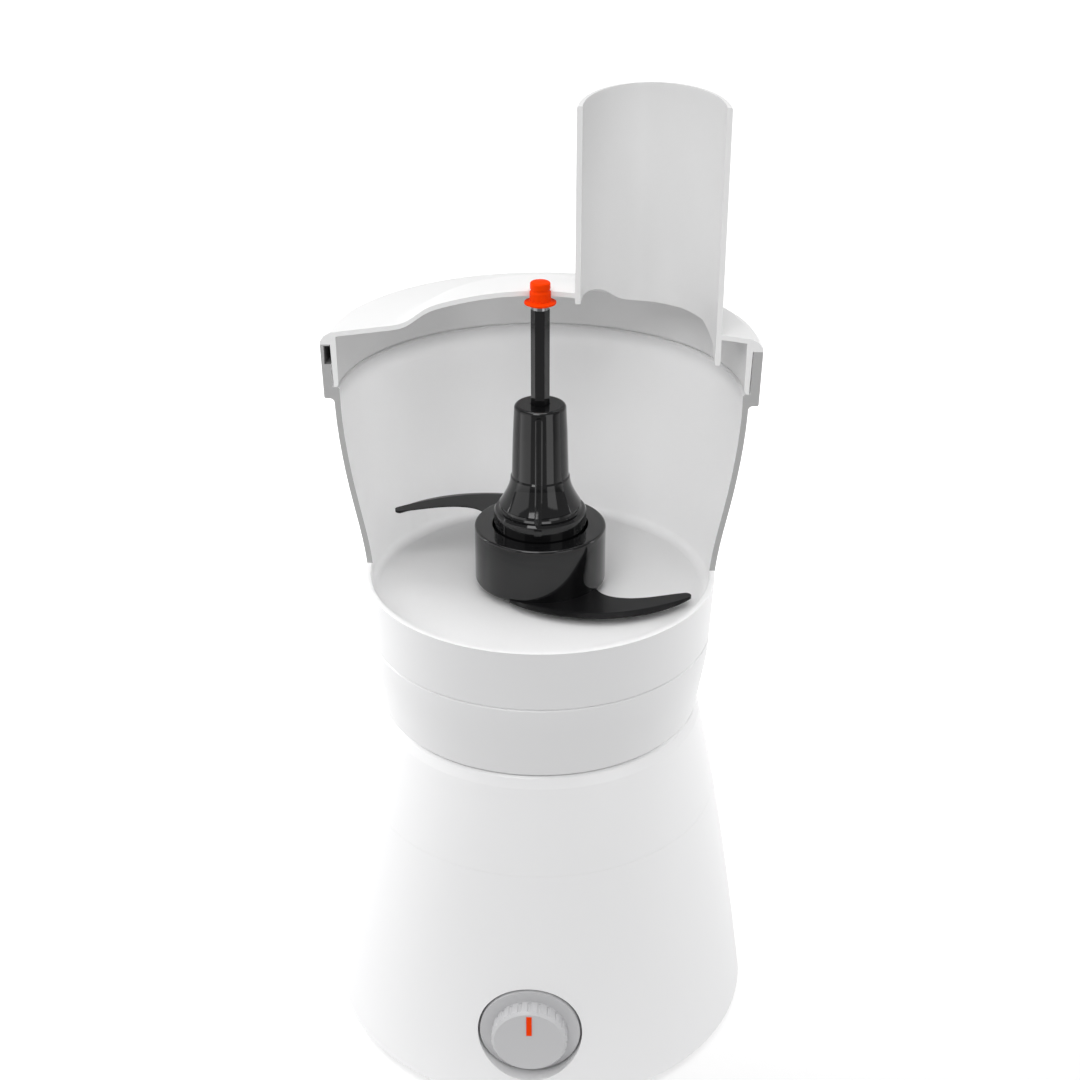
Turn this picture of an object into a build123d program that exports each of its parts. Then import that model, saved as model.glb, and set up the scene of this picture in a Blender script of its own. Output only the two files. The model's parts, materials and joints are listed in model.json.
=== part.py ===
from build123d import *
import os
from math import acos, cos, pi, radians, sin, tan

# A compact food processor shown as a cutaway: the front half (-Y) of the bowl wall, lid and feed tube is
# cut away on the plane Y = 0, and the bowl's front wall is cut again just above its floor.
# Millimetres. +Z up, the feed tube towards +X, the control knob towards -Y.
# The origin is on the drive axis, on the surface that the feet stand on.

# ---------------------------------------------------------------- driving dimensions
FOOT_HEIGHT = 2.5            # rubber below the housing
HOUSING_TOP = 160.7          # top of the white base
HOUSING_WALL = 3.0
HOUSING_FOOT_RADIUS = 99.2
HOUSING_OPENING = 94.7       # radius of the open bottom that the base plate closes
PARTING_LINE = 115.8
SEAT_TOP = 192.0             # deck that the bowl is lowered onto
SEAT_RADIUS = 65.0
FOOT_RING_BOTTOM = 161.3
SKIRT_BOTTOM = 196.9         # joint between the bowl and its foot ring
SKIRT_RADIUS = 76.5          # outside of both at that joint
BOWL_FLOOR = 217.5           # inside face of the bowl's floor
FRONT_CUT = 224.7            # the front wall is cut down to here
BOWL_WALL = 2.5
RIM_TOP = 327.8
RIM_BOTTOM = 303.5
RIM_RADIUS = 93.2
LID_SEAT = 308.7             # step that the lid's skirt stands on
LID_WALL = 2.1
LID_CROWN = 352.8            # top of the lid on the axis
TUBE_TOP = 428.5
TUBE_CENTRE_X = 45.0
TUBE_HALF_X = 30.6
TUBE_HALF_Y = 50.5
TUBE_WALL = 2.25
BLADE_THICKNESS = 1.2
LOWER_BLADE_TOP = 222.0
UPPER_BLADE_TOP = 243.0
HUB_BOTTOM = LOWER_BLADE_TOP - BLADE_THICKNESS
HUB_TOP = 246.5
HUB_RADIUS = 28.9
TOWER_TOP = 302.9
SHAFT_TOP = 345.2
COLLAR_TOP = 346.5
BEARING_BOTTOM = COLLAR_TOP + 0.2
LID_HOLE = 4.45              # radius of the hole that the lid's bearing is pressed into
KNOB_HEIGHT = 38.0
KNOB_RADIUS = 22.4
CORD_HEIGHT = 30.0

# planetary gearbox: the sun drives, the ring gear is fixed, the carrier turns at a fifth of the speed
SUN_TEETH, PLANET_TEETH, RING_TEETH = 18, 27, 72
MODULE = 0.9
PRESSURE_ANGLE = radians(20)
BACKLASH = 0.2               # along the pitch circle
PLANETS = 3
PLANET_ORBIT = MODULE * (SUN_TEETH + PLANET_TEETH) / 2

CHIMNEY_RADIUS = 9.5
CHIMNEY_TOP = 262.0
JOURNAL_RADIUS = 5.0
MOTOR_SHAFT_RADIUS = 4.0
OUTPUT_RADIUS = 6.0
RUNNING_FIT = 0.05           # radial clearance of a shaft in its bush

CORNERS = (45, 135, 225, 315)
PART = {}


# ---------------------------------------------------------------- helpers
def disc(radius, bottom, top):
    """Solid cylinder on the drive axis between two heights."""
    return Pos(0, 0, bottom) * Cylinder(radius, top - bottom, align=(Align.CENTER, Align.CENTER, Align.MIN))


def tube(outer, inner, bottom, top):
    """Hollow cylinder on the drive axis."""
    return disc(outer, bottom, top) - disc(inner, bottom - 1, top + 1)


def block(x, y, z):
    """Box between the pairs of limits x, y and z."""
    centre = [(low + high) / 2 for low, high in (x, y, z)]
    return Pos(*centre) * Box(x[1] - x[0], y[1] - y[0], z[1] - z[0])


def hexagon(across_flats, bottom, top):
    """Hexagonal prism on the drive axis, with a flat facing the front and the back."""
    outline = RegularPolygon(across_flats / 2, 6, major_radius=False)
    return Pos(0, 0, bottom) * extrude(outline, top - bottom)


def turned(*edges):
    """Solid of revolution about Z from a closed half profile drawn as (radius, height)."""
    return revolve(Plane.XZ * make_face(edges), Axis.Z)


def turned_polygon(*points):
    return turned(Polyline(*points, close=True))


def around(shape, angles):
    """Copies of a shape turned about the drive axis."""
    return [Rot(0, 0, angle) * shape for angle in angles]


def front_cylinder(radius, near, far, height, side=-1):
    """Cylinder along Y at a height: side -1 is on the front, side +1 on the back; near and far are |Y|."""
    length = far - near
    middle = side * (near + far) / 2
    return Pos(0, middle, height) * Rot(90, 0, 0) * Cylinder(radius, length)


def spring(coil_radius, wire_radius, start, end, turns):
    """Open helical spring along +Z between two heights, about the Z axis."""
    free = end - start - 2 * wire_radius
    path = Helix(pitch=free / turns, height=free, radius=coil_radius)
    section = Plane(path @ 0, z_dir=path % 0) * Circle(wire_radius)
    return Pos(0, 0, start + wire_radius) * sweep(section, path=path, is_frenet=True)


def involute_angle(base_radius, radius):
    """Polar angle that the involute of a base circle has turned through at a radius."""
    pressure = acos(min(1.0, base_radius / radius))
    return tan(pressure) - pressure


def gear_face(teeth, inner_radius, outer_radius, extra_gap):
    """Outline of a gear: teeth between two radii, one tooth centred on +X.

    extra_gap is taken off the tooth at the pitch circle, and is negative for the space of a ring gear.
    """
    pitch_radius = MODULE * teeth / 2
    base_radius = pitch_radius * cos(PRESSURE_ANGLE)
    half_tooth = pi / (2 * teeth) - extra_gap / (2 * pitch_radius)
    at_pitch = involute_angle(base_radius, pitch_radius)
    flank_start = max(base_radius, inner_radius)
    flank = []
    for step in range(5):
        radius = flank_start + (outer_radius - flank_start) * step / 4
        flank.append((radius, half_tooth + at_pitch - involute_angle(base_radius, radius)))
    if flank_start > inner_radius:
        flank.insert(0, (inner_radius, flank[0][1]))
    points = []
    for tooth in range(teeth):
        middle = 2 * pi * tooth / teeth
        points += [(radius * cos(middle - turn), radius * sin(middle - turn)) for radius, turn in flank]
        points += [(radius * cos(middle + turn), radius * sin(middle + turn)) for radius, turn in flank[::-1]]
    return make_face(Polyline(*points, close=True))


# ---------------------------------------------------------------- white base
def housing_profile(inset):
    """Closed half profile of the base's outside, drawn in by inset."""
    foot = HOUSING_FOOT_RADIUS - inset
    bottom = FOOT_HEIGHT
    flank = Spline((foot, bottom + 1.5), (91.4 - inset, 58), (84.8 - inset, 98), (79.2 - inset, 128),
                   (75.6 - inset, 145), (73.3 - inset, 155.5))
    top = HOUSING_TOP - inset
    shoulder = Line((73.3 - inset, 155.5), (71.6 - inset, top - 1.0))
    edge = Polyline((71.6 - inset, top - 1.0), (70.6 - inset, top), (0, top), (0, bottom),
                    (foot - 1.5, bottom), (foot, bottom + 1.5))
    return flank, shoulder, edge


def base_housing():
    outside = turned(*housing_profile(0))
    inside = turned(*housing_profile(HOUSING_WALL)) + disc(HOUSING_OPENING, 0, 4)
    shell = outside - inside - disc(60, HOUSING_TOP - 10, HOUSING_TOP + 1)
    knob_cup = front_cylinder(26.5, 83, 100, KNOB_HEIGHT) & outside
    cord_cup = front_cylinder(15, 87, 100, CORD_HEIGHT, side=1) & outside
    shell = shell + knob_cup + cord_cup
    shell -= front_cylinder(23.4, 86, 110, KNOB_HEIGHT)
    shell -= front_cylinder(3.4, 80, 110, KNOB_HEIGHT)
    shell -= front_cylinder(12, 90, 110, CORD_HEIGHT, side=1)
    shell -= front_cylinder(6, 80, 110, CORD_HEIGHT, side=1)
    for boss in around(plate_screw_boss(), PLATE_SCREW_ANGLES):
        shell += boss
    for hole in around(Pos(PLATE_SCREW_RADIUS, 0, 0) * disc(1.6, 0, 20), PLATE_SCREW_ANGLES):
        shell -= hole
    for hole in seat_screw_holes():
        shell -= hole
    # parting line of the moulding
    return shell - (disc(90, PARTING_LINE, PARTING_LINE + 0.15) - turned(*housing_profile(0.1)))


PLATE_SCREW_RADIUS = 85.0
PLATE_SCREW_ANGLES = (20, 160, 200, 340)
PLATE_TOP = FOOT_HEIGHT + 3.0


def plate_screw_boss():
    """Post from the base plate up, tied to the housing's wall by a web."""
    post = Pos(PLATE_SCREW_RADIUS, 0, 0) * disc(5, PLATE_TOP, 26)
    web = block((PLATE_SCREW_RADIUS, 93.5), (-1.5, 1.5), (PLATE_TOP, 26))
    return post + web


MOUNT_RADIUS = 34.0
FOOT_PLACE = 84.0


def base_plate():
    plate = disc(HOUSING_OPENING - 0.3, FOOT_HEIGHT, PLATE_TOP)
    for post in around(Pos(MOUNT_RADIUS, 0, 0) * disc(6, PLATE_TOP, 14), (0, 90, 180, 270)):
        plate += post
    for y in (-18, 18):
        plate += block((66, 72), (y - 3, y + 3), (PLATE_TOP, 26)) - block((68, 70), (y - 4, y + 4), (20, 27))
    for hole in around(Pos(FOOT_PLACE, 0, 0) * disc(3, 0, 10), CORNERS):
        plate -= hole
    for hole in around(Pos(PLATE_SCREW_RADIUS, 0, 0) * (disc(1.8, 0, 10) + disc(4.2, 0, 4.5)),
                       PLATE_SCREW_ANGLES):
        plate -= hole
    # air slots under the motor
    for angle in range(15, 360, 30):
        plate -= Rot(0, 0, angle) * block((45, 62), (-2, 2), (0, 10))
    return plate


def rubber_feet():
    pad = disc(9, 0, FOOT_HEIGHT)
    pad = fillet(pad.edges().group_by(Axis.Z)[0], 0.8)
    head = turned_polygon((0, PLATE_TOP), (4.2, PLATE_TOP), (2.4, PLATE_TOP + 2.5), (0, PLATE_TOP + 2.5))
    foot = pad + disc(3, FOOT_HEIGHT, PLATE_TOP) + head
    return around(Pos(FOOT_PLACE, 0, 0) * foot, CORNERS)


def screw(head_radius, shank_radius, head_bottom, head_top, tip):
    """Pan-head screw pointing up, with a hexagonal recess in its head."""
    body = disc(head_radius, head_bottom, head_top) + disc(shank_radius, head_top, tip)
    return body - hexagon(2.4, head_bottom - 1, head_bottom + 1.0)


def base_plate_screws():
    return around(Pos(PLATE_SCREW_RADIUS, 0, 0) * screw(3.8, 1.6, 2.6, 4.5, 19), PLATE_SCREW_ANGLES)


SEAT_POST_RADIUS = 46.0
INTERLOCK_Y = 55.0
GEARBOX_BOTTOM = 125.0
GEARBOX_TOP = 155.0


def bowl_seat():
    """Raised deck inside the bowl's foot ring, with bayonet lugs and posts that the gearbox hangs from."""
    seat = tube(SEAT_RADIUS, SEAT_RADIUS - 3, HOUSING_TOP, SEAT_TOP)
    seat += disc(SEAT_RADIUS, SEAT_TOP - 3, SEAT_TOP)
    seat = chamfer(seat.edges().group_by(Axis.Z)[-1], 1.2)
    for post in around(Pos(SEAT_POST_RADIUS, 0, 0) * disc(6, GEARBOX_TOP, SEAT_TOP - 2), CORNERS):
        seat += post
    seat += tube(16, 12, 183, SEAT_TOP)
    seat -= disc(12, 180, SEAT_TOP + 1)
    # bayonet lugs, beside the hooks of the foot ring
    lug = block((SEAT_RADIUS - 1, 67), (-7, 7), (170, 174))
    for copy in around(lug, (0, 120, 240)):
        seat += copy
    # interlock guide and the shelf of its switch
    guide = Pos(0, INTERLOCK_Y, 0) * disc(6, 183.5, SEAT_TOP - 1)
    shelf = block((-7, 7), (49, SEAT_RADIUS - 1), (HOUSING_TOP, 163))
    seat = seat + guide + shelf - Pos(0, INTERLOCK_Y, 0) * disc(3.0 + RUNNING_FIT, 180, SEAT_TOP + 1)
    for hole in around(Pos(SEAT_POST_RADIUS, 0, 0) * disc(1.7, GEARBOX_TOP - 1, 167), CORNERS):
        seat -= hole
    for hole in around(Pos(62.5, 0, 0) * disc(1.3, HOUSING_TOP - 1, 168), SEAT_SCREW_ANGLES):
        seat -= hole
    return seat


SEAT_SCREW_ANGLES = (30, 150, 210, 330)


def seat_screw_holes():
    return around(Pos(62.5, 0, 0) * disc(1.5, HOUSING_TOP - 6, HOUSING_TOP + 1), SEAT_SCREW_ANGLES)


def bowl_seat_screws():
    top = HOUSING_TOP - HOUSING_WALL
    return around(Pos(62.5, 0, 0) * screw(2.4, 1.3, top - 1.8, top, 167), SEAT_SCREW_ANGLES)


def shaft_seal():
    """Lip seal between the deck and the output shaft."""
    return turned_polygon((12, 185), (12, 192), (8.5, 192), (6.4, 190), (6.4, 189), (9, 190), (9, 187),
                          (7, 185))


# ---------------------------------------------------------------- controls and electrics
def control_knob():
    skirt = front_cylinder(KNOB_RADIUS, 86.6, 91.5, KNOB_HEIGHT)
    grip = front_cylinder(17, 91.5, 98.6, KNOB_HEIGHT)
    grip = chamfer(grip.edges().group_by(Axis.Y)[0], 1.4)
    knob = skirt + grip
    for angle in range(0, 360, 15):
        notch = Pos(17.5, 0, 0) * Rot(90, 0, 0) * Cylinder(1.1, 8)
        knob -= Pos(0, -96, KNOB_HEIGHT) * Rot(0, angle, 0) * notch
    knob -= front_cylinder(3, 80, 96, KNOB_HEIGHT)
    return knob - knob_pointer()


def knob_pointer():
    """Raised marker line set into the grip's face."""
    return block((-1.2, 1.2), (-98.9, -97.6), (KNOB_HEIGHT + 4, KNOB_HEIGHT + 14.5))


def selector_shaft():
    return front_cylinder(3, 72, 96, KNOB_HEIGHT)


def rotary_switch():
    body = block((-15, 15), (-83, -68), (KNOB_HEIGHT - 15, KNOB_HEIGHT + 15))
    body = chamfer(body.edges().filter_by(Axis.Y), 4)
    for x in (-9, 0, 9):
        body += block((x - 1.5, x + 1.5), (-68, -61), (KNOB_HEIGHT - 0.4, KNOB_HEIGHT + 0.4))
    return body - front_cylinder(3 + RUNNING_FIT, 71, 90, KNOB_HEIGHT)


def cord_gland():
    outside = front_cylinder(9, 90, 93.5, CORD_HEIGHT, side=1)
    waist = front_cylinder(6, 87, 90, CORD_HEIGHT, side=1)
    inside = front_cylinder(8.5, 83.5, 87, CORD_HEIGHT, side=1)
    return outside + waist + inside - front_cylinder(3.6, 80, 100, CORD_HEIGHT, side=1)


BOARD_X = 68.0


def circuit_board():
    return block((BOARD_X, BOARD_X + 2), (-25, 25), (20, 84))


def board_components():
    """Capacitor, choke, relay and a row of small parts on the board's inner face."""
    can = Pos(BOARD_X - 8, -12, 62) * Rot(0, 90, 0) * Cylinder(7, 16)
    choke = Pos(BOARD_X - 4, 13, 66) * Rot(0, 90, 0) * (Cylinder(8, 8) - Cylinder(4, 9))
    relay = block((BOARD_X - 13, BOARD_X), (3, 21), (34, 48))
    chips = [block((BOARD_X - 3, BOARD_X), (y, y + 5), (32, 40)) for y in (-21, -13, -5)]
    return [can, choke, relay] + chips


def interlock_pin():
    """Sprung pin under the bowl that lets the motor run only when it is pressed."""
    pin = Pos(0, INTERLOCK_Y, 0) * (disc(2, 174.6, 178) + disc(5, 178, 180) + disc(3, 180, 193.5))
    return fillet(pin.edges().group_by(Axis.Z)[-1], 1.0)


def interlock_spring():
    return Pos(0, INTERLOCK_Y, 0) * spring(3.4, 0.45, 171.0, 178.0, 4)


def interlock_switch():
    body = block((-7, 7), (INTERLOCK_Y - 6, INTERLOCK_Y + 6), (163, 171))
    return body - block((-8, 8), (INTERLOCK_Y + 3, INTERLOCK_Y + 7), (167, 172))


# ---------------------------------------------------------------- motor
CORE_BOTTOM, CORE_TOP = 60.0, 98.0
POLE_BORE = 22.0
BRACKET_RADIUS = 44.0
BOLT_RADIUS = 39.0
BRUSH_HEIGHT = 43.0
LOWER_BRACKET_BOTTOM = 22.0
UPPER_BRACKET_TOP = GEARBOX_BOTTOM


def motor_bolt_holes(bottom, top):
    return around(Pos(BOLT_RADIUS, 0, 0) * disc(1.5, bottom, top), CORNERS)


def pole_neck(margin, bottom, top):
    return block((-8 - margin, 8 + margin), (-37, 37), (bottom, top))


def stator_core():
    core = tube(42, 35.7, CORE_BOTTOM, CORE_TOP)
    shoes = tube(28.3, POLE_BORE, CORE_BOTTOM, CORE_TOP)
    for gap in around(block((11, 45), (-9, 9), (0, 200)), (0, 180)):
        shoes -= gap
    neck = pole_neck(0, CORE_BOTTOM, CORE_TOP) - disc(25, 0, 200)
    core = core + shoes + neck
    for hole in motor_bolt_holes(CORE_BOTTOM - 1, CORE_TOP + 1):
        core -= hole
    return core


def field_coils():
    """Two wound loops round the necks of the stator's poles."""
    loop = block((-20, 20), (28.5, 40), (52, 106))
    loop = fillet(loop.edges().filter_by(Axis.Y), 6) & disc(35.5, 0, 200)
    loop -= pole_neck(0.2, CORE_BOTTOM - 0.2, CORE_TOP + 0.2)
    return around(loop, (0, 180))


def armature_slots(inner, outer, width, bottom, top):
    bar = block((inner, outer), (-width / 2, width / 2), (bottom, top))
    return around(bar, range(0, 360, 30))


def armature_core():
    core = disc(POLE_BORE - 0.7, 62, 96) - disc(MOTOR_SHAFT_RADIUS, 0, 200)
    for slot in armature_slots(12, 19, 3, 60, 98) + armature_slots(18, 23, 1.2, 60, 98):
        core -= slot
    return core


def armature_windings():
    """Bars that fill the core's slots and the two wound end turns."""
    windings = turned(*rounded_ring(5, 19.5, 54.5, 62, 2.5)) + turned(*rounded_ring(5, 19.5, 96, 103.5, 2.5))
    for bar in armature_slots(12, 19, 3, 61.5, 96.5):
        windings += bar
    return windings - disc(MOTOR_SHAFT_RADIUS, 0, 200)


def rounded_ring(inner, outer, bottom, top, radius):
    """Half profile of a ring with rounded outer corners."""
    face = FilletPolyline((inner, bottom), (outer, bottom), (outer, top), (inner, top), radius=radius)
    return face, Line((inner, top), (inner, bottom))


def motor_shaft():
    return disc(MOTOR_SHAFT_RADIUS, 24, 143)


def commutator():
    ring = tube(12, MOTOR_SHAFT_RADIUS, 36, 50) + tube(13.5, MOTOR_SHAFT_RADIUS, 50, 53)
    for groove in around(block((11, 14), (-0.3, 0.3), (35, 50)), range(0, 360, 15)):
        ring -= groove
    return ring


def cooling_fan():
    fan = tube(9, MOTOR_SHAFT_RADIUS, 105, 113) + tube(34, 8, 107, 108.5)
    blade = block((10, 33.5), (-0.7, 0.7), (108, 113))
    for copy in around(Pos(0, -6, 0) * blade, range(0, 360, 24)):
        fan += copy
    return fan


def bearing(bottom):
    """Sleeve bearing cartridge with a shield groove in each face."""
    ring = tube(11, MOTOR_SHAFT_RADIUS + RUNNING_FIT, bottom, bottom + 7)
    groove = tube(9.5, 6, bottom - 1, bottom + 0.6)
    return ring - groove - Pos(0, 0, 7.4) * groove


def lower_bracket():
    low = LOWER_BRACKET_BOTTOM
    bracket = disc(BRACKET_RADIUS, low, low + 3) + tube(BRACKET_RADIUS, 41, low, CORE_BOTTOM)
    bracket += tube(14, 11, low + 3, low + 10)
    bracket -= disc(7, low - 1, low + 4)
    for angle in (90, 270):
        bracket -= Rot(0, 0, angle) * block((38, 50), (-16, 16), (low + 8, CORE_BOTTOM - 6))
        bracket -= Rot(0, 0, angle) * block((18, 28), (-12, 12), (low - 1, low + 4))
    for side in (0, 180):
        bracket -= Rot(0, 0, side) * block((30, 50), (-5.5, 5.5), (BRUSH_HEIGHT - 6.5, BRUSH_HEIGHT + 6.5))
    for hole in motor_bolt_holes(low - 1, low + 4):
        bracket -= hole
    return bracket


def upper_bracket():
    top = UPPER_BRACKET_TOP
    bracket = disc(BRACKET_RADIUS, top - 3, top) + tube(BRACKET_RADIUS, 41, CORE_TOP, top)
    bracket += tube(14, 11, top - 10, top - 3)
    bracket -= disc(7, top - 4, top + 1)
    for angle in (0, 90, 180, 270):
        bracket -= Rot(0, 0, angle) * block((38, 50), (-16, 16), (CORE_TOP + 5, top - 6))
    for hole in motor_bolt_holes(top - 4, top + 1):
        bracket -= hole
    return bracket


def motor_bolts():
    low = LOWER_BRACKET_BOTTOM
    return around(Pos(BOLT_RADIUS, 0, 0) * screw(2.8, 1.5, low - 2.2, low, GEARBOX_BOTTOM + 2.5), CORNERS)


def brush_holders():
    sleeve = block((15, BRACKET_RADIUS), (-5.5, 5.5), (BRUSH_HEIGHT - 6.5, BRUSH_HEIGHT + 6.5))
    sleeve -= block((14, BRACKET_RADIUS - 2), (-3.1, 3.1), (BRUSH_HEIGHT - 4.1, BRUSH_HEIGHT + 4.1))
    return around(sleeve, (0, 180))


def carbon_brushes():
    brush = block((12.3, 29), (-3, 3), (BRUSH_HEIGHT - 4, BRUSH_HEIGHT + 4))
    return around(brush, (0, 180))


def brush_springs():
    coil = spring(2.2, 0.35, 29, BRACKET_RADIUS - 2, 6)
    lying = Pos(0, 0, BRUSH_HEIGHT) * Rot(0, 90, 0) * coil
    return around(lying, (0, 180))


def motor_mounts():
    mount = turned_polygon((0, 14), (7, 14), (5.6, 16), (5.6, 20), (7, LOWER_BRACKET_BOTTOM),
                           (0, LOWER_BRACKET_BOTTOM))
    return around(Pos(MOUNT_RADIUS, 0, 0) * mount, (0, 90, 180, 270))


# ---------------------------------------------------------------- gearbox
GEAR_BOTTOM, GEAR_TOP = 130.0, 142.0
PIN_RADIUS = 3.0
CARRIER_BOTTOM = 143.2


def gearbox_housing():
    low = GEARBOX_BOTTOM
    cup = disc(42, low, low + 3) + tube(42, 37, low, 152) + tube(37.5, 34.5, low, GEAR_BOTTOM)
    cup += tube(52, 41, 149, 152)
    cup -= disc(5, low - 1, low + 4)
    for hole in around(Pos(SEAT_POST_RADIUS, 0, 0) * disc(1.7, 148, 153), CORNERS):
        cup -= hole
    for hole in motor_bolt_holes(low - 1, low + 2.5):
        cup -= hole
    return cup


def ring_gear():
    # the spaces of the ring are teeth made wider by the backlash, cut to the ring's root
    pitch_radius = MODULE * RING_TEETH / 2
    spaces = gear_face(RING_TEETH, pitch_radius - MODULE, pitch_radius + 1.25 * MODULE, -BACKLASH)
    rim = Circle(37) - spaces
    return Pos(0, 0, GEAR_BOTTOM) * extrude(rim, GEAR_TOP - GEAR_BOTTOM)


def spur_gear(teeth, bore, bottom, top):
    pitch_radius = MODULE * teeth / 2
    face = gear_face(teeth, pitch_radius - 1.25 * MODULE, pitch_radius + MODULE, BACKLASH) - Circle(bore)
    return Pos(0, 0, bottom) * extrude(face, top - bottom)


def planet_angle(index):
    return 360 / PLANETS * index


def planet_gear(index):
    gear = spur_gear(PLANET_TEETH, PIN_RADIUS + RUNNING_FIT, GEAR_BOTTOM + 0.6, GEAR_TOP - 0.6)
    return Rot(0, 0, planet_angle(index)) * Pos(PLANET_ORBIT, 0, 0) * gear


def planet_pins():
    pin = Pos(PLANET_ORBIT, 0, 0) * (disc(PIN_RADIUS, GEAR_BOTTOM, CARRIER_BOTTOM + 5)
                                     + disc(4.4, GEAR_BOTTOM - 1.2, GEAR_BOTTOM))
    return around(pin, [planet_angle(index) for index in range(PLANETS)])


def planet_carrier():
    plate = disc(27, CARRIER_BOTTOM, CARRIER_BOTTOM + 5)
    for index in range(PLANETS):
        plate -= Rot(0, 0, planet_angle(index)) * Pos(PLANET_ORBIT, 0, 0) * disc(PIN_RADIUS, 100, 160)
        plate -= Rot(0, 0, planet_angle(index) + 60) * Pos(PLANET_ORBIT, 0, 0) * disc(4.5, 100, 160)
    return plate


def output_shaft():
    flange = CARRIER_BOTTOM + 5
    return disc(9.5, flange, flange + 2.5) + disc(OUTPUT_RADIUS, flange + 2.5, COUPLING_BOTTOM + 3)


COUPLING_BOTTOM = 194.0


def output_bush():
    return tube(10, OUTPUT_RADIUS + RUNNING_FIT, 152, 170)


def gearbox_cover():
    cover = disc(52, 152, GEARBOX_TOP) + disc(14, 152, 170) - disc(10, 150, 171)
    for hole in around(Pos(SEAT_POST_RADIUS, 0, 0) * disc(1.7, 150, 156), CORNERS):
        cover -= hole
    for rib in around(block((13, 40), (-1, 1), (GEARBOX_TOP - 1, 162)), range(0, 360, 45)):
        cover += rib
    return cover - disc(10, 150, 171)


def gearbox_screws():
    return around(Pos(SEAT_POST_RADIUS, 0, 0) * screw(3.4, 1.7, 146.4, 149, 166), CORNERS)


def drive_coupling():
    """Nylon socket on the output shaft that the spindle's dog drops into."""
    socket = disc(13, COUPLING_BOTTOM, 207)
    socket = chamfer(socket.edges().group_by(Axis.Z)[-1], 0.8)
    socket -= hexagon(16.5, COUPLING_BOTTOM + 3, 208)
    return socket - disc(OUTPUT_RADIUS, COUPLING_BOTTOM - 1, COUPLING_BOTTOM + 3)


# ---------------------------------------------------------------- bowl
def bowl_wall_line(inset, bottom):
    """S-shaped side of the bowl from under the rim down to a height."""
    return Spline((88.2 - inset, 299), (86.4 - inset, 278), (83.3 - inset, 258), (79.5 - inset, 238),
                  (77.8 - inset, FRONT_CUT), (77.8 - inset - (FRONT_CUT - bottom) * 0.05, bottom))


def bowl_outside():
    wall = bowl_wall_line(0, BOWL_FLOOR)
    low_radius = (wall @ 1).X
    neck = Line((88.2, 299), (88.3, RIM_BOTTOM - 2))
    hollow = ThreePointArc((88.3, RIM_BOTTOM - 2), (88.89, RIM_BOTTOM - 0.59), (90.3, RIM_BOTTOM))
    rim = FilletPolyline((90.3, RIM_BOTTOM), (92.6, RIM_BOTTOM), (RIM_RADIUS, RIM_TOP - 0.3), radius=0.8)
    close = Polyline((RIM_RADIUS, RIM_TOP - 0.3), (RIM_RADIUS - 0.3, RIM_TOP), (0, RIM_TOP),
                     (0, SKIRT_BOTTOM), (SKIRT_RADIUS - 0.7, SKIRT_BOTTOM), (SKIRT_RADIUS, SKIRT_BOTTOM + 0.7))
    skirt = Line((SKIRT_RADIUS, SKIRT_BOTTOM + 0.7), (low_radius, BOWL_FLOOR))
    return turned(wall, neck, hollow, rim, close, skirt)


def bowl_inside():
    """Space inside the bowl: up the wall, out over the lid's seat and up the rim."""
    start = BOWL_FLOOR + 4
    wall = bowl_wall_line(BOWL_WALL, start)
    low_radius = (wall @ 1).X
    above = Polyline((88.2 - BOWL_WALL, 299), (85.8, LID_SEAT - 0.8), (86.6, LID_SEAT), (88.7, LID_SEAT),
                     (89.4, RIM_TOP + 2), (0, RIM_TOP + 2), (0, BOWL_FLOOR), (low_radius - 4, BOWL_FLOOR))
    corner = RadiusArc((low_radius - 4, BOWL_FLOOR), (low_radius, start), -4.4)
    return turned(wall, above, corner)


def bowl():
    shell = bowl_outside() - bowl_inside()
    under = turned_polygon((0, SKIRT_BOTTOM - 1), (74.0, SKIRT_BOTTOM - 1), (74.2, BOWL_FLOOR - 6),
                           (72.2, BOWL_FLOOR - BOWL_WALL), (0, BOWL_FLOOR - BOWL_WALL))
    shell -= under
    # the front is cut away down to just above the floor
    shell -= block((-120, 120), (-120, 0), (FRONT_CUT, 400))
    # bayonet pocket in the rim at the left of the section
    pocket = tube(91.7, 88, RIM_TOP - 8.8, RIM_TOP - 0.6) & block((-100, -60), (-1, 40), (300, 340))
    shell -= pocket
    # chimney round the spindle
    shell += disc(CHIMNEY_RADIUS, 208, CHIMNEY_TOP)
    shell -= disc(CHIMNEY_RADIUS - 2, 200, CHIMNEY_TOP + 1)
    # post over the interlock pin
    post = Pos(0, INTERLOCK_Y, 0) * disc(5, 194, BOWL_FLOOR - 1)
    return shell + post


def bowl_foot_ring():
    """Ring under the bowl, with a rounded lower edge and inner hooks that lock on the seat's lugs."""
    low = FOOT_RING_BOTTOM
    edge = ThreePointArc((70.4, low), (71.6, low + 0.5), (72.2, low + 1.7))
    outside = Spline((72.2, low + 1.7), (73.5, 172), (74.8, 180), (75.7, 186), (76.4, SKIRT_BOTTOM - 0.6))
    inside = Polyline((76.4, SKIRT_BOTTOM - 0.6), (75.8, SKIRT_BOTTOM), (74.0, SKIRT_BOTTOM),
                      (74.0, SKIRT_BOTTOM + 4), (71.6, SKIRT_BOTTOM + 4), (71.6, SKIRT_BOTTOM - 3),
                      (69.4, low + 1.4), (69.4, low), (70.4, low))
    ring = turned(edge, outside, inside)
    hook = block((65.8, 70.5), (-8, 8), (164, 168)) + block((65.8, 70.5), (6, 8), (164, 176))
    for copy in around(hook, (24, 144, 264)):
        ring += copy & disc(72, 0, 400)
    return ring


def spindle_bushes():
    bush = tube(CHIMNEY_RADIUS - 2, JOURNAL_RADIUS + RUNNING_FIT, 0, 8)
    return [Pos(0, 0, 208) * bush, Pos(0, 0, CHIMNEY_TOP - 8) * bush]


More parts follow.
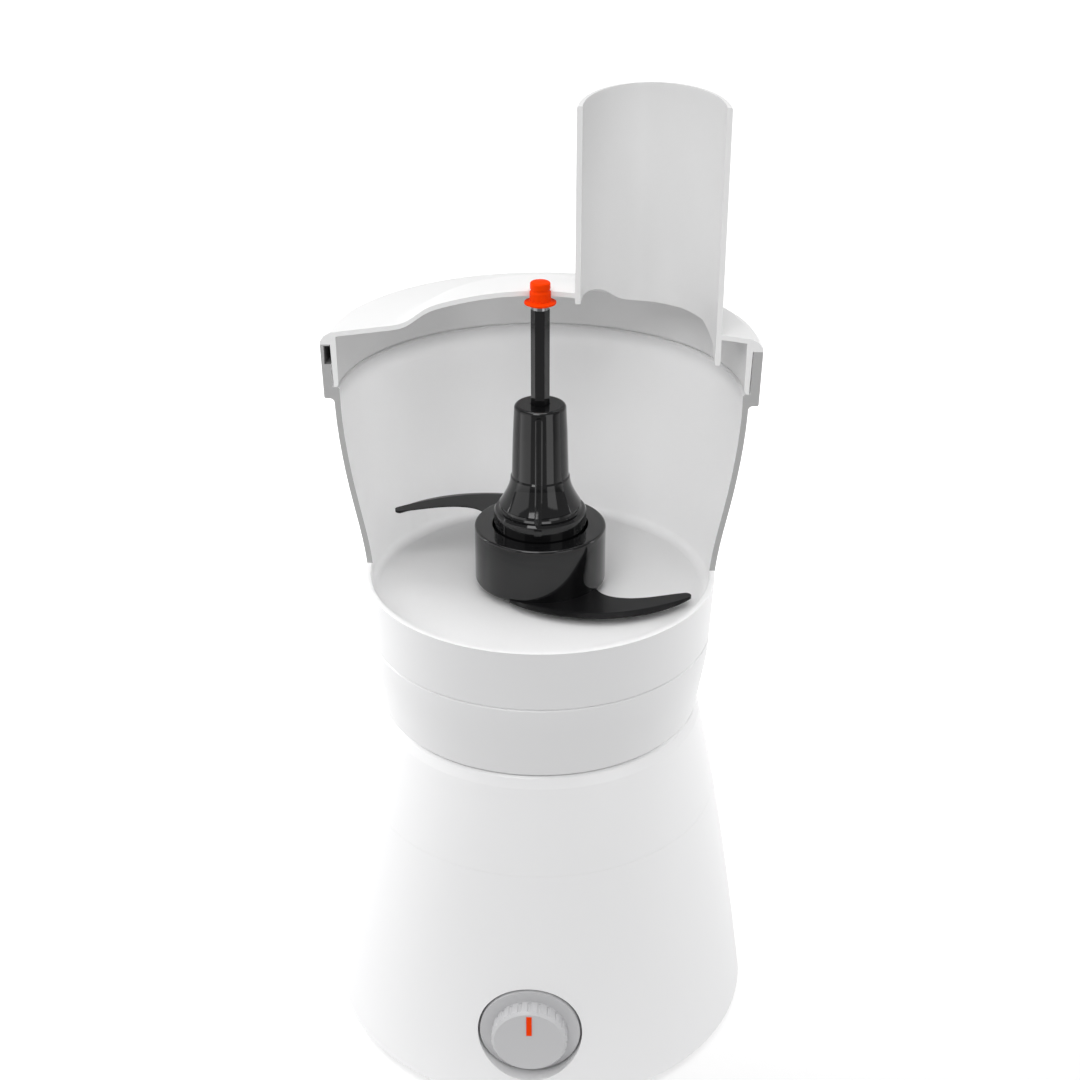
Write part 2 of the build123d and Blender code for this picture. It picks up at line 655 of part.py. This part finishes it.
# ---------------------------------------------------------------- spindle and blades
HEX_DRIVE_BOTTOM, HEX_DRIVE_TOP = CHIMNEY_TOP + 0.3, 290.0
SHAFT_ACROSS_FLATS = 6.9
PIN_TOP_RADIUS = 2.5
PIN_TOP = BEARING_BOTTOM + 5


def drive_spindle():
    journal = disc(JOURNAL_RADIUS, 199, HEX_DRIVE_BOTTOM + 1)
    driver = chamfer(hexagon(14, HEX_DRIVE_BOTTOM, HEX_DRIVE_TOP).edges().group_by(Axis.Z)[-1], 1.5)
    bar = hexagon(SHAFT_ACROSS_FLATS, HEX_DRIVE_TOP - 1, SHAFT_TOP)
    return journal + driver + bar + disc(PIN_TOP_RADIUS, SHAFT_TOP - 1, PIN_TOP)


def spindle_dog():
    dog = hexagon(16, 199, 206.8) - disc(JOURNAL_RADIUS, 190, 210)
    return chamfer(dog.edges().group_by(Axis.Z)[0].filter_by(GeomType.LINE), 0.8)


def spindle_collar():
    return tube(3.8, PIN_TOP_RADIUS, SHAFT_TOP, COLLAR_TOP)


HUB_SEAT = 232.0             # floor inside the hub that the tower stands on
HUB_WELL_RADIUS = 21.2
TOWER_BORE = 10.2


def tower_line():
    """Outside of the tower from its foot to its top, with a neck under the flare."""
    foot = Polyline((20.3, HUB_SEAT), (20.3, 253.4), (19.6, 254.3), (18.2, 254.6), (17.4, 255.3),
                    (17.3, 256.4), (17.9, 257.0))
    flare = Spline((17.9, 257.0), (16.9, 258.6), (14.4, 263.5), (13.0, 268.6),
                   tangents=((-1, 1.6), (-0.12, 1)))
    body = Polyline((13.0, 268.6), (12.9, 269.6), (12.4, 270.4), (11.8, 290), (11.2, TOWER_TOP - 1.6))
    return foot, flare, body


def upright_reach(grow):
    """Solid that the tower's uprights are cut from: the tower without its neck, drawn out by grow."""
    foot = Polyline((20.0 + grow, HUB_SEAT), (20.0 + grow, 253.4), (19.2 + grow, 254.9), (17.9 + grow, 257.2))
    flare = Spline((17.9 + grow, 257.2), (16.9 + grow, 258.9), (14.4 + grow, 263.7), (13.0 + grow, 268.6))
    body = Polyline((13.0 + grow, 268.6), (12.4 + grow, 270.4), (11.8 + grow, 290),
                    (11.2 + grow, TOWER_TOP - 1.6), (0, TOWER_TOP - 1.6), (0, HUB_SEAT), (20.0 + grow, HUB_SEAT))
    return turned(foot, flare, body)


def tower_upright():
    """Bevelled upright on the tower's front: a pointed foot, a round top and a channel down its middle."""
    high, low, half = TOWER_TOP - 2.4, 253.2, 1.6
    outline = make_face(Polyline((-half, low + 2), (0, low), (half, low + 2), (half, high - 1.2), (0.8, high),
                                 (-0.8, high), (-half, high - 1.2), close=True))
    upright = upright_reach(0.9) & extrude(Plane.XZ * outline, 60)
    sides = [edge for edge in upright.edges()
             if abs(abs(edge.center().X) - half) < 0.01 and edge.geom_type != GeomType.LINE
             and low + 2 < edge.center().Z < high - 1.2]
    upright = chamfer(sides, 0.55)
    return upright - (block((-0.35, 0.35), (-60, 0), (256, TOWER_TOP - 4)) - upright_reach(0.3))


def blade_tower():
    foot, flare, body = tower_line()
    top = Polyline((9.6, TOWER_TOP), (0, TOWER_TOP), (0, HUB_SEAT), (20.3, HUB_SEAT))
    crown = RadiusArc((11.2, TOWER_TOP - 1.6), (9.6, TOWER_TOP), -1.6)
    tower = turned(foot, flare, body, crown, top)
    tab = block((-1.6, 1.6), (-20.9, 0), (248.9, 252.4))
    for copy in around(tower_upright() + tab, (0, 180)):
        tower += copy
    tower -= disc(TOWER_BORE, HUB_SEAT - 1, 263.2)
    tower -= hexagon(14.4, 263, 293)
    return tower - hexagon(SHAFT_ACROSS_FLATS + 0.9, 290, TOWER_TOP + 1)


BEVEL_WIDTH = 3.0


def blade_outline(convex_relief, concave_relief):
    """Plan of one blade: a wide root at the hub, a sickle-shaped arm and a rounded tip.

    Each relief draws the middle of that edge in towards the arm, for the bevels.
    """
    out, inn = convex_relief, concave_relief
    convex = Spline((-12, -27), (4, -36.3 + out), (25, -39.7 + out), (46 - out / 2, -35.3 + out), (66.2, -20.2))
    tip = ThreePointArc((66.2, -20.2), (66.6, -17.6), (64.2, -16.4))
    concave = Spline((64.2, -16.4), (52, -20.2 - inn), (40, -22.6 - inn), (31, -21 - inn), (25, -13.7))
    root = Polyline((25, -13.7), (20, -6), (0, -8), (-16, -12), (-12, -27))
    return make_face([convex, tip, concave, root])


def blade_blank(top):
    """Thin blade with a wide bevel on the top of its convex side and another under its concave side."""
    low, third, half = top - BLADE_THICKNESS, BLADE_THICKNESS / 3, BEVEL_WIDTH / 2
    sections = [Pos(0, 0, low) * blade_outline(0, BEVEL_WIDTH),
                Pos(0, 0, low + third) * blade_outline(0, half),
                Pos(0, 0, low + 2 * third) * blade_outline(half, 0),
                Pos(0, 0, top) * blade_outline(BEVEL_WIDTH, 0)]
    return loft(sections, ruled=True)


def lower_blade():
    return blade_blank(LOWER_BLADE_TOP) - disc(12, 200, 260)


def upper_blade():
    return Rot(0, 0, 180) * (blade_blank(UPPER_BLADE_TOP) - disc(HUB_WELL_RADIUS, 200, 260))


def blade_hub():
    hub = disc(HUB_RADIUS, HUB_BOTTOM, HUB_TOP)
    hub = fillet(hub.edges().group_by(Axis.Z)[-1] + hub.edges().group_by(Axis.Z)[0], 0.9)
    hub -= disc(HUB_WELL_RADIUS, HUB_SEAT, HUB_TOP + 1)
    hub -= disc(TOWER_BORE, HUB_BOTTOM - 1, HUB_SEAT + 1)
    hub -= tube(25, 13.5, HUB_BOTTOM - 1, HUB_BOTTOM + 6.5)
    return hub - upper_blade() - lower_blade()


# ---------------------------------------------------------------- lid and feed tube
LID_FALL = 0.1364            # slope of the lid's outer part


def lid_line(drop, reach):
    """Domed top of the lid from the axis out to the radius reach, lowered by drop."""
    dome = Spline((0, LID_CROWN - drop), (20, 351.4 - drop), (40, 347.2 - drop), (48, 344.2 - drop),
                  (54, 340.0 - drop), (62, 336.8 - drop), tangents=((1, 0), (1, -0.15)))
    slope = Line((62, 336.8 - drop), (reach, 336.8 - drop - LID_FALL * (reach - 62)))
    return dome, slope


def lid_blank():
    """Whole lid before it is cut: shell, edge flange and the skirt that hangs inside the bowl's rim."""
    top = lid_line(0, 88.4)
    under = lid_line(LID_WALL, 86.4)
    edge = Polyline(top[1] @ 1, (91.4, 331.6), (RIM_RADIUS, 329.2), (RIM_RADIUS, RIM_TOP), (88.9, RIM_TOP),
                    (88.2, LID_SEAT), (87.7, LID_SEAT))
    toe = ThreePointArc((87.7, LID_SEAT), (86.64, LID_SEAT + 0.44), (86.2, LID_SEAT + 1.5))
    inner = Line((86.2, LID_SEAT + 1.5), under[1] @ 1)
    return turned(*top, edge, toe, inner, *under, Line((0, LID_CROWN), (0, LID_CROWN - LID_WALL)))


def lid_bearing():
    """Ribbed orange bearing pressed through the lid's hole: a flange under the lid and a round button on top."""
    bearing_bore = disc(PIN_TOP_RADIUS + RUNNING_FIT, BEARING_BOTTOM - 1, PIN_TOP + 0.4)
    body = turned(*bearing_profile()) - bearing_bore
    for angle in range(0, 360, 30):
        body -= Rot(0, 0, angle) * Pos(4.95, 0, 0) * disc(0.6, BEARING_BOTTOM + 2.3, BEARING_BOTTOM + 5.7)
    return body


def bearing_profile():
    low = BEARING_BOTTOM
    flange = FilletPolyline((0, low), (4.6, low), (6.7, low + 0.9), (6.7, low + 1.6), (4.65, low + 2.0),
                            (LID_HOLE, low + 3.8), (LID_HOLE, low + 5.7), (3.9, low + 6.6), (4.0, low + 7.0),
                            (4.25, low + 7.4), radius=0.15)
    button = FilletPolyline((4.25, low + 7.4), (4.25, low + 10.1), (0, low + 10.4), radius=0.9)
    return flange, button, Line((0, low + 10.4), (0, low))


def oval(half_x, half_y):
    """Outline of the feed tube."""
    return Pos(TUBE_CENTRE_X, 0) * Ellipse(half_x, half_y)


def tube_prism(margin, bottom, top):
    return Pos(0, 0, bottom) * extrude(oval(TUBE_HALF_X + margin, TUBE_HALF_Y + margin), top - bottom)


BACK_HALF = ((-200, 200), (0, 200), (0, 600))


def lid():
    shell = lid_blank() - tube_prism(0, 300, 400) - disc(LID_HOLE, 300, 400)
    return shell & block(*BACK_HALF)


def feed_tube():
    walls = tube_prism(0, 318, TUBE_TOP) - tube_prism(-TUBE_WALL, 300, 500)
    # the lower end stops just under the lid, and reaches further down at the outer side
    trim = Spline((20, 347.4), (34, 345.2), (47, 340.6), (55, 335.8), (62, 333.8), (69, 332.9), (90, 329.4))
    under = turned(trim, Polyline((90, 329.4), (90, 300), (0, 300), (0, 347.4), (20, 347.4)))
    apron = Plane.XZ * make_face([Spline((63, 338), (69.6, 331.5), (72.1, 328.2), (73.2, 322)),
                                  Polyline((73.2, 322), (73.2, 290), (-10, 290), (-10, 400), (63, 400), (63, 338))])
    walls -= under & extrude(apron, -80)
    walls -= block((60, 90), (-80, 80), (300, 321.5))
    walls &= block(*BACK_HALF)
    top_edges = walls.edges().group_by(Axis.Z)[-1].filter_by(GeomType.ELLIPSE)
    return chamfer(top_edges, 0.5)


# ---------------------------------------------------------------- write every sub-part
def build():
    makers = (base_housing, base_plate, base_plate_screws, rubber_feet, bowl_seat, bowl_seat_screws, shaft_seal,
              control_knob, knob_pointer, selector_shaft, rotary_switch, cord_gland, circuit_board, board_components,
              interlock_pin, interlock_spring, interlock_switch, stator_core, field_coils, armature_core,
              armature_windings, motor_shaft, commutator, cooling_fan, lower_bracket, upper_bracket, motor_bolts,
              brush_holders, carbon_brushes, brush_springs, motor_mounts, gearbox_housing, ring_gear, planet_pins,
              planet_carrier, output_shaft, output_bush, gearbox_cover, gearbox_screws, drive_coupling, bowl,
              bowl_foot_ring, spindle_bushes, drive_spindle, spindle_dog, spindle_collar, blade_tower, lower_blade,
              upper_blade, blade_hub, lid, lid_bearing, feed_tube)
    for maker in makers:
        PART[maker.__name__] = maker()
    PART["lower_bearing"] = bearing(LOWER_BRACKET_BOTTOM + 3)
    PART["upper_bearing"] = bearing(UPPER_BRACKET_TOP - 10)
    PART["sun_gear"] = spur_gear(SUN_TEETH, MOTOR_SHAFT_RADIUS, GEAR_BOTTOM, GEAR_TOP)
    for index in range(PLANETS):
        PART[f"planet_gear_{index + 1}"] = planet_gear(index)


def write():
    os.makedirs("parts", exist_ok=True)
    for name, shape in PART.items():
        solids = Compound(children=list(shape)) if isinstance(shape, list) else shape
        export_step(solids, f"parts/{name}.step")


build()
write()
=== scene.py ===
"""Looks of the cutaway food processor: camera, light, and materials for the CAD pieces."""
import json
import math

import bmesh
import bpy
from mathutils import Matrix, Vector

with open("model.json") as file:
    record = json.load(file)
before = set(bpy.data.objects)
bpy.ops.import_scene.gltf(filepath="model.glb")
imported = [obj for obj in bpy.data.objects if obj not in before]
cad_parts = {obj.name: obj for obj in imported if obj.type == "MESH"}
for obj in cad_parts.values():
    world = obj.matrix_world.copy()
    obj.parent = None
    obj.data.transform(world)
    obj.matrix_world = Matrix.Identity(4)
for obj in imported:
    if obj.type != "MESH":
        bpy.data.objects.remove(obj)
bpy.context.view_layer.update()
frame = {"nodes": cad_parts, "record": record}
NODES = frame["nodes"]
MM = 0.001
PLAIN = (1.0, 1.0, 1.0)

# Camera: aim point and distance in metres, angles in degrees, focal length and sensor in millimetres.
CAMERA_AIM = (-0.0001, 0.0, 0.238)
CAMERA_DISTANCE = 0.7484
CAMERA_ELEVATION = 26.404
CAMERA_AZIMUTH = 2.886
FOCAL_LENGTH = 56.28
SENSOR_WIDTH = 36.0
CLIP_START = 0.05

# Area lights: name, place, aim, size in metres and power in watts.
MIDDLE = (0.0, 0.0, 0.25)
AREA_LIGHTS = (
    ("top", (-0.15, -0.05, 1.5), MIDDLE, (1.2, 1.0), 10.0),
    ("left_box", (-0.32, -0.17, 0.27), MIDDLE, (0.36, 0.36), 0.33),
    ("right_box", (0.26, -0.28, 0.27), MIDDLE, (0.20, 0.36), 0.27),
    ("key", (-0.35, -1.1, 1.45), MIDDLE, (0.7, 0.7), 6.8),
    ("back_left", (-0.42, 0.14, 0.36), (-0.08, 0.0, 0.29), (0.2, 0.2), 0.8),
    ("back_right", (0.42, 0.14, 0.36), (0.08, 0.0, 0.29), (0.2, 0.2), 0.5),
)
WORLD_STRENGTH = 0.34

# Floor: half its side, its drop below the feet, and where its painted glow starts and is full along Y.
FLOOR_HALF = 9.0
FLOOR_DROP = 0.0002
GLOW_START, GLOW_FULL, GLOW_STRENGTH = -0.5, 0.4, 1.1

# Places on the bowl in millimetres.
SECTION_REACH = 0.02          # how far a section face may lie from the cut plane
SECTION_FACING = -0.9         # its normal's Y is below this (no unit)
SKIRT_TOP = 224.9             # just under the cut of the bowl's front wall
SKIRT_INSIDE = 75.0           # everything further out is the skirt's outside
POCKET_LEFT = -60.0           # the bayonet pocket lies left of this
POCKET_HEIGHTS = (318.9, 327.4)
POCKET_RADII = (87.9, 91.8)

BLADES = ("lower_blade", "upper_blade")
BLADE_SHARP_ANGLE = 8
SHARP_ANGLE = 30


# ---------------------------------------------------------------- camera
def add_camera():
    """Long lens from the front and above, a little to the right of the cut plane's normal."""
    elevation, azimuth = math.radians(CAMERA_ELEVATION), math.radians(CAMERA_AZIMUTH)
    back = Vector((math.sin(azimuth) * math.cos(elevation), -math.cos(azimuth) * math.cos(elevation),
                   math.sin(elevation)))
    data = bpy.data.cameras.new("camera")
    data.sensor_width = SENSOR_WIDTH
    data.lens = FOCAL_LENGTH
    data.clip_start = CLIP_START
    camera = bpy.data.objects.new("camera", data)
    camera.location = Vector(CAMERA_AIM) + back * CAMERA_DISTANCE
    camera.rotation_euler = (-back).to_track_quat("-Z", "Y").to_euler()
    bpy.context.scene.collection.objects.link(camera)
    bpy.context.scene.camera = camera


# ---------------------------------------------------------------- light and floor
def add_area_light(name, place, aim, size, power):
    data = bpy.data.lights.new(name, "AREA")
    data.shape = "RECTANGLE"
    data.size, data.size_y = size
    data.energy = power
    light = bpy.data.objects.new(name, data)
    light.location = place
    light.rotation_euler = (Vector(aim) - Vector(place)).to_track_quat("-Z", "Y").to_euler()
    bpy.context.scene.collection.objects.link(light)


def add_studio():
    world = bpy.data.worlds.new("studio")
    world.use_nodes = True
    background = world.node_tree.nodes["Background"]
    background.inputs["Color"].default_value = (*PLAIN, 1.0)
    background.inputs["Strength"].default_value = WORLD_STRENGTH
    bpy.context.scene.world = world
    bpy.context.scene.view_settings.view_transform = "Standard"
    for light in AREA_LIGHTS:
        add_area_light(*light)
    add_floor()


def add_floor():
    mesh = bpy.data.meshes.new("floor")
    grid = bmesh.new()
    bmesh.ops.create_grid(grid, x_segments=1, y_segments=1, size=FLOOR_HALF)
    grid.to_mesh(mesh)
    grid.free()
    floor = bpy.data.objects.new("floor", mesh)
    floor.location.z = -FLOOR_DROP
    bpy.context.scene.collection.objects.link(floor)
    mesh.materials.append(floor_material())


def floor_material():
    """Pale floor with painted light: it glows from within, from nothing in front of the object to full
    behind it, in place of the lamps that light a studio sweep.
    """
    material, shader, tree = new_material("studio_floor", (0.45, 0.45, 0.45), 0.9)
    shader.inputs["Specular IOR Level"].default_value = 0.1
    shader.inputs["Emission Color"].default_value = (*PLAIN, 1.0)
    place = tree.nodes.new("ShaderNodeTexCoord")
    split = tree.nodes.new("ShaderNodeSeparateXYZ")
    remap = tree.nodes.new("ShaderNodeMapRange")
    remap.interpolation_type = "SMOOTHSTEP"
    remap.inputs["From Min"].default_value = GLOW_START
    remap.inputs["From Max"].default_value = GLOW_FULL
    remap.inputs["To Min"].default_value = 0.0
    remap.inputs["To Max"].default_value = GLOW_STRENGTH
    tree.links.new(place.outputs["Object"], split.inputs["Vector"])
    tree.links.new(split.outputs["Y"], remap.inputs["Value"])
    tree.links.new(remap.outputs["Result"], shader.inputs["Emission Strength"])
    return material


# ---------------------------------------------------------------- materials
def new_material(name, colour, roughness):
    """Material with a Principled shader; returns it, the shader and the node tree."""
    material = bpy.data.materials.new(name)
    material.use_nodes = True
    tree = material.node_tree
    shader = tree.nodes["Principled BSDF"]
    shader.inputs["Base Color"].default_value = (*colour, 1.0)
    shader.inputs["Roughness"].default_value = roughness
    return material, shader, tree


def shader_of(material):
    return material.node_tree.nodes["Principled BSDF"]


def noise(tree, scale, detail, stretch=PLAIN):
    """Noise in object space; scale is in features per metre."""
    place = tree.nodes.new("ShaderNodeTexCoord")
    mapping = tree.nodes.new("ShaderNodeMapping")
    mapping.inputs["Scale"].default_value = stretch
    texture = tree.nodes.new("ShaderNodeTexNoise")
    texture.inputs["Scale"].default_value = scale
    texture.inputs["Detail"].default_value = detail
    tree.links.new(place.outputs["Object"], mapping.inputs["Vector"])
    tree.links.new(mapping.outputs["Vector"], texture.inputs["Vector"])
    return texture.outputs["Fac"]


def spread(tree, value, low, high):
    """Maps a 0 to 1 value onto low to high."""
    remap = tree.nodes.new("ShaderNodeMapRange")
    remap.inputs["To Min"].default_value = low
    remap.inputs["To Max"].default_value = high
    tree.links.new(value, remap.inputs["Value"])
    return remap.outputs["Result"]


def tint(tree, value, first, second):
    """Blends from the first colour to the second as the value goes from 0 to 1."""
    mix = tree.nodes.new("ShaderNodeMix")
    mix.data_type = "RGBA"
    mix.inputs["A"].default_value = (*first, 1.0)
    mix.inputs["B"].default_value = (*second, 1.0)
    tree.links.new(value, mix.inputs["Factor"])
    return mix.outputs["Result"]


def add_bump(tree, shader, height, strength, depth):
    """Bumps the shader's normal by a height of 0 to 1 that stands for depth metres."""
    bump = tree.nodes.new("ShaderNodeBump")
    bump.inputs["Strength"].default_value = strength
    bump.inputs["Distance"].default_value = depth
    tree.links.new(height, bump.inputs["Height"])
    tree.links.new(bump.outputs["Normal"], shader.inputs["Normal"])


def moulded_plastic(name, colour, roughness, grain=1400.0, grain_depth=0.02 * MM, variation=0.015,
                    wear=0.05):
    """Injection moulded plastic: faint flow mottling, a fine skin texture and uneven gloss."""
    material, shader, tree = new_material(name, colour, roughness)
    flow = noise(tree, 14.0, 4.0, (1.0, 1.0, 0.35))
    darker = tuple(channel * (1.0 - variation) for channel in colour)
    lighter = tuple(min(1.0, channel * (1.0 + variation)) for channel in colour)
    tree.links.new(tint(tree, flow, darker, lighter), shader.inputs["Base Color"])
    gloss = spread(tree, noise(tree, 160.0, 5.0), roughness - wear, roughness + wear)
    tree.links.new(gloss, shader.inputs["Roughness"])
    add_bump(tree, shader, noise(tree, grain, 2.0), 0.35, grain_depth)
    return material


def metal(name, colour, roughness, stretch=PLAIN, scale=900.0, depth=0.01 * MM):
    """Metal with machining or rolling marks along the stretched axis."""
    material, shader, tree = new_material(name, colour, roughness)
    shader.inputs["Metallic"].default_value = 1.0
    marks = noise(tree, scale, 3.0, stretch)
    tree.links.new(spread(tree, marks, roughness * 0.7, roughness * 1.35), shader.inputs["Roughness"])
    tone = noise(tree, 60.0, 4.0)
    darker = tuple(channel * 0.88 for channel in colour)
    tree.links.new(tint(tree, tone, darker, colour), shader.inputs["Base Color"])
    add_bump(tree, shader, marks, 0.4, depth)
    return material


def rubber_material():
    return moulded_plastic("rubber", (0.035, 0.035, 0.035), 0.72, 2200.0, 0.05 * MM, 0.15, 0.1)


def translucent_plastic():
    """Milky plastic of the bowl: light passes some millimetres into it."""
    material = moulded_plastic("bowl_plastic", (0.86, 0.86, 0.863), 0.40)
    shader = shader_of(material)
    shader.inputs["Subsurface Weight"].default_value = 1.0
    shader.inputs["Subsurface Radius"].default_value = PLAIN
    shader.inputs["Subsurface Scale"].default_value = 6.0 * MM
    return material


def black_gloss():
    """Polished black of the blade tower, the hub and the spindle."""
    material = moulded_plastic("black_plastic", (0.0045, 0.0045, 0.005), 0.08,
                               1800.0, 0.002 * MM, 0.2, 0.03)
    shader_of(material).inputs["Specular IOR Level"].default_value = 0.5
    return material


def orange_plastic(name):
    """Satin orange of the lid's bearing and of the knob's pointer."""
    material = moulded_plastic(name, (0.92, 0.052, 0.001), 0.42, 1600.0, 0.01 * MM, 0.04, 0.06)
    shader_of(material).inputs["Specular IOR Level"].default_value = 0.03
    return material


def ring_plastic_painted_shade():
    """A darker copy of the bowl's plastic with painted shade, for where it stands in front of the dark
    space under the bowl's floor.
    """
    return moulded_plastic("ring_plastic_painted_shade", (0.77, 0.77, 0.775), 0.38)


def blade_black():
    """Satin black of the thin blades."""
    material = moulded_plastic("blade_black", (0.005, 0.005, 0.0055), 0.30,
                               1800.0, 0.002 * MM, 0.2, 0.04)
    shader_of(material).inputs["Specular IOR Level"].default_value = 0.22
    return material


MATERIALS = {
    "white_plastic": lambda: moulded_plastic("white_plastic", (0.86, 0.86, 0.865), 0.34),
    "bowl_plastic": translucent_plastic,
    "lid_plastic": lambda: moulded_plastic("lid_plastic", (0.88, 0.88, 0.88), 0.36),
    "black_plastic": black_gloss,
    "orange_plastic": lambda: orange_plastic("orange_plastic"),
    "orange_marker": lambda: orange_plastic("orange_marker"),
    "grey_plastic": lambda: moulded_plastic("grey_plastic", (0.55, 0.55, 0.56), 0.38),
    "nylon": lambda: moulded_plastic("nylon", (0.72, 0.70, 0.62), 0.5, 900.0, 0.03 * MM, 0.05, 0.08),
    "dark_moulding": lambda: moulded_plastic("dark_moulding", (0.03, 0.03, 0.033), 0.55,
                                             1200.0, 0.03 * MM, 0.2, 0.08),
    "pin_plastic": lambda: moulded_plastic("pin_plastic", (0.03, 0.03, 0.03), 0.4),
    "rubber": rubber_material,
    "steel": lambda: metal("steel", (0.60, 0.60, 0.61), 0.26, (1.0, 1.0, 8.0)),
    "screw_steel": lambda: metal("screw_steel", (0.57, 0.56, 0.53), 0.34),
    "laminated_steel": lambda: metal("laminated_steel", (0.22, 0.22, 0.235), 0.45,
                                     (0.05, 0.05, 1.0), 1600.0, 0.06 * MM),
    "copper": lambda: metal("copper", (0.62, 0.22, 0.07), 0.33, (0.2, 0.2, 1.0), 1300.0, 0.08 * MM),
    "bronze": lambda: metal("bronze", (0.52, 0.33, 0.13), 0.42),
    "carbon": lambda: moulded_plastic("carbon", (0.03, 0.03, 0.03), 0.6),
    "bracket_alloy": lambda: metal("bracket_alloy", (0.55, 0.55, 0.56), 0.48,
                                   scale=500.0, depth=0.04 * MM),
    "circuit_green": lambda: moulded_plastic("circuit_green", (0.02, 0.16, 0.06), 0.35),
}


def dress_nodes():
    """Gives every CAD node the material of its slot in the record."""
    made = {}
    for part in frame["record"]["subparts"]:
        slot = part["material_slot"]
        if slot not in made:
            made[slot] = MATERIALS[slot]()
        give_material(part["node"], made[slot])


def give_material(node, material):
    mesh = NODES[node].data
    mesh.materials.clear()
    mesh.materials.append(material)


def paint_faces(node, material, chosen):
    """Gives the faces of a node for which chosen(face, corners) is true their own material."""
    mesh = NODES[node].data
    mesh.materials.append(material)
    index = len(mesh.materials) - 1
    for face in mesh.polygons:
        if chosen(face, [mesh.vertices[vertex].co for vertex in face.vertices]):
            face.material_index = index


def is_section(face, corners):
    """True for the sawn faces, those that lie on the cut plane and look forward."""
    return face.normal.y < SECTION_FACING and all(abs(corner.y) < SECTION_REACH * MM for corner in corners)


def is_skirt(face, corners):
    """True for the bowl's outside below the cut of its front wall, which gets painted shade."""
    outward = face.normal.x * face.center.x + face.normal.y * face.center.y > 0.0
    return outward and all(corner.z < SKIRT_TOP * MM and corner.xy.length > SKIRT_INSIDE * MM
                           for corner in corners)


def section_faces():
    """Gives the sawn faces their own dull finish."""
    bowl_section = moulded_plastic("bowl_section", (0.42, 0.42, 0.42), 0.6, 700.0, 0.03 * MM, 0.02)
    lid_section = moulded_plastic("lid_section", (0.84, 0.84, 0.84), 0.5, 700.0, 0.03 * MM, 0.01)
    paint_faces("bowl", bowl_section, is_section)
    paint_faces("lid", lid_section, is_section)
    paint_faces("feed_tube", lid_section, is_section)


def is_painted_shade_pocket(face, corners):
    """True for the inside of the bayonet pocket in the rim, which is painted dark grey as its shade."""
    bottom, top = POCKET_HEIGHTS
    inner, outer = POCKET_RADII
    return all(corner.x < POCKET_LEFT * MM and bottom * MM < corner.z < top * MM
               and inner * MM < corner.xy.length < outer * MM for corner in corners)


def special_parts():
    """Parts whose finish differs from the rest of their slot, and faces with painted shade: the bowl's
    skirt, its foot ring and the inside of the bayonet pocket.
    """
    painted_shade_ring = ring_plastic_painted_shade()
    # Painted shade: the skirt's outside and the foot ring get a darker copy of the bowl's plastic.
    paint_faces("bowl", painted_shade_ring, is_skirt)
    # Painted shade: the inside of the bayonet pocket is dark grey in place of the shadow in it.
    paint_faces("bowl", moulded_plastic("pocket", (0.20, 0.20, 0.20), 0.6), is_painted_shade_pocket)
    looks = {"bowl_foot_ring": painted_shade_ring, "lower_blade": blade_black(), "upper_blade": blade_black(),
             "spindle_collar": metal("dark_polish", (0.30, 0.30, 0.31), 0.10)}
    for node, material in looks.items():
        give_material(node, material)


def smooth_shading():
    """Shades curved faces smooth, and keeps the corners and the blades' shallow bevels sharp."""
    for name, item in NODES.items():
        limit = BLADE_SHARP_ANGLE if name in BLADES else SHARP_ANGLE
        item.data.set_sharp_from_angle(angle=math.radians(limit))


add_camera()
add_studio()
dress_nodes()
section_faces()
special_parts()
smooth_shading()
